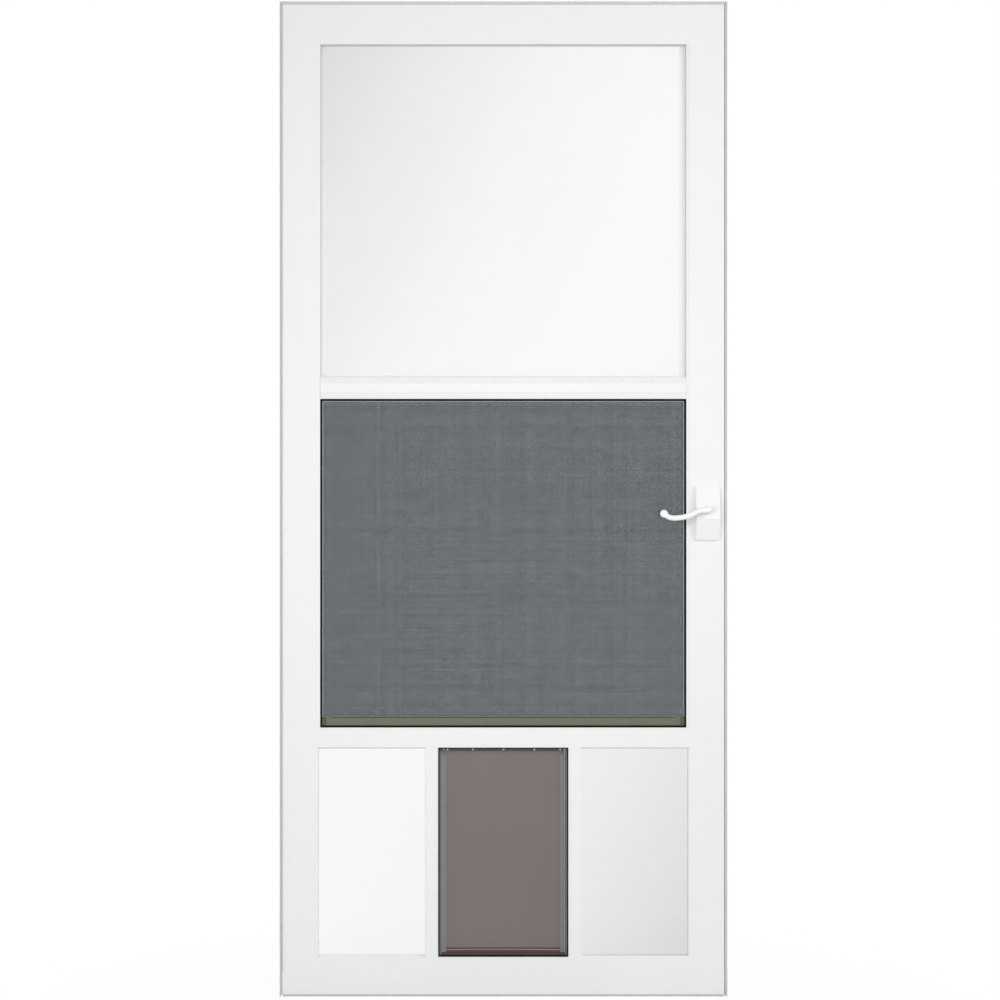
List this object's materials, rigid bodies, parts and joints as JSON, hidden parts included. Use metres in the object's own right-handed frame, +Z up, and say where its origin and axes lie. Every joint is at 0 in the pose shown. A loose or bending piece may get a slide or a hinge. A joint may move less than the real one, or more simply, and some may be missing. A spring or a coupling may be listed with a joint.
{
  "type": "storm door",
  "caption": "Self-storing storm door in its slim jamb frame: fixed upper glass, insect screen, lower panes, swinging pet flap and lever handle.",
  "frame": {"origin": "on the outer face of the hinge jamb, at the sill, in the plane of the leaf's front face", "axes": "+X from the hinge jamb to the latch jamb, +Y indoors, +Z up"},
  "size_m": [0.914, 0.12, 2.032],
  "materials": {
    "white_enamel": "white baked enamel, satin",
    "hinge_satin": "satin grey anodised",
    "pin_steel": "plain drawn steel",
    "seal_pile": "grey soft weather seal",
    "clear_glass": "clear tempered glass",
    "glazing_grey": "grey vinyl glazing gasket",
    "screen_black": "black enamel",
    "screen_weave": "charcoal woven insect mesh",
    "lift_bronze": "olive bronze enamel",
    "catch_black": "black moulded plastic",
    "liner_brown": "dark bronze enamel",
    "flap_vinyl": "smoky flexible vinyl",
    "flap_edging": "pale grey vinyl edging",
    "flap_bar_brown": "dark brown magnet bar",
    "handle_white": "gloss white enamel on die casting",
    "lock_steel": "zinc plated steel"
  },
  "bodies": {
    "frame": {"hinge_jamb": "white_enamel", "latch_jamb": "white_enamel", "head_jamb": "white_enamel", "door_stops": "white_enamel", "weather_seals": "seal_pile", "jamb_hinge_flap": "hinge_satin", "hinge_pin": "pin_steel", "strike_plate": "lock_steel"},
    "leaf": {"hinge_stile": "white_enamel", "latch_stile": "white_enamel", "top_rail": "white_enamel", "cross_rail": "white_enamel", "bottom_rail": "white_enamel", "left_mullion": "white_enamel", "right_mullion": "white_enamel", "leaf_hinge_flap": "hinge_satin", "left_track": "white_enamel", "right_track": "white_enamel", "meeting_rail": "white_enamel", "upper_glass": "clear_glass", "upper_glass_gasket": "glazing_grey", "vent_sash": "white_enamel", "vent_glass": "clear_glass", "screen_frame": "screen_black", "screen_mesh": "screen_weave", "screen_lift_rail": "lift_bronze", "screen_catches": "catch_black", "left_pane": "clear_glass", "right_pane": "clear_glass", "lower_gaskets": "glazing_grey", "left_pane_bead": "white_enamel", "right_pane_bead": "white_enamel", "bottom_expander": "white_enamel", "bottom_sweep": "seal_pile", "pet_door_liner": "liner_brown", "flap_clamp_bar": "liner_brown", "outside_plate": "handle_white", "inside_plate": "handle_white", "lock_case": "lock_steel"},
    "pet_flap": {"flap_panel": "flap_vinyl", "flap_edge_strips": "flap_edging", "flap_bottom_bars": "flap_bar_brown"},
    "handle": {"outside_lever": "handle_white", "inside_lever": "handle_white", "spindle": "lock_steel"}
  },
  "joints": [
    {"name": "leaf_swing", "type": "hinge", "parent": "frame", "child": "leaf", "pos_m": [0.0034, -0.0032, 1], "axis": [0, 0, -1], "range_deg": [0, 100]},
    {"name": "flap_swing", "type": "hinge", "parent": "leaf", "child": "pet_flap", "pos_m": [0.45645, 0.015, 0.5008], "axis": [1, 0, 0], "range_deg": [-75, 75]},
    {"name": "handle_turn", "type": "hinge", "parent": "leaf", "child": "handle", "pos_m": [0.8733, 0.015, 0.9952], "axis": [0, -1, 0], "range_deg": [0, 40], "stiffness_Nm_per_rad": 1.2, "springref_deg": -28.65}
  ]
}
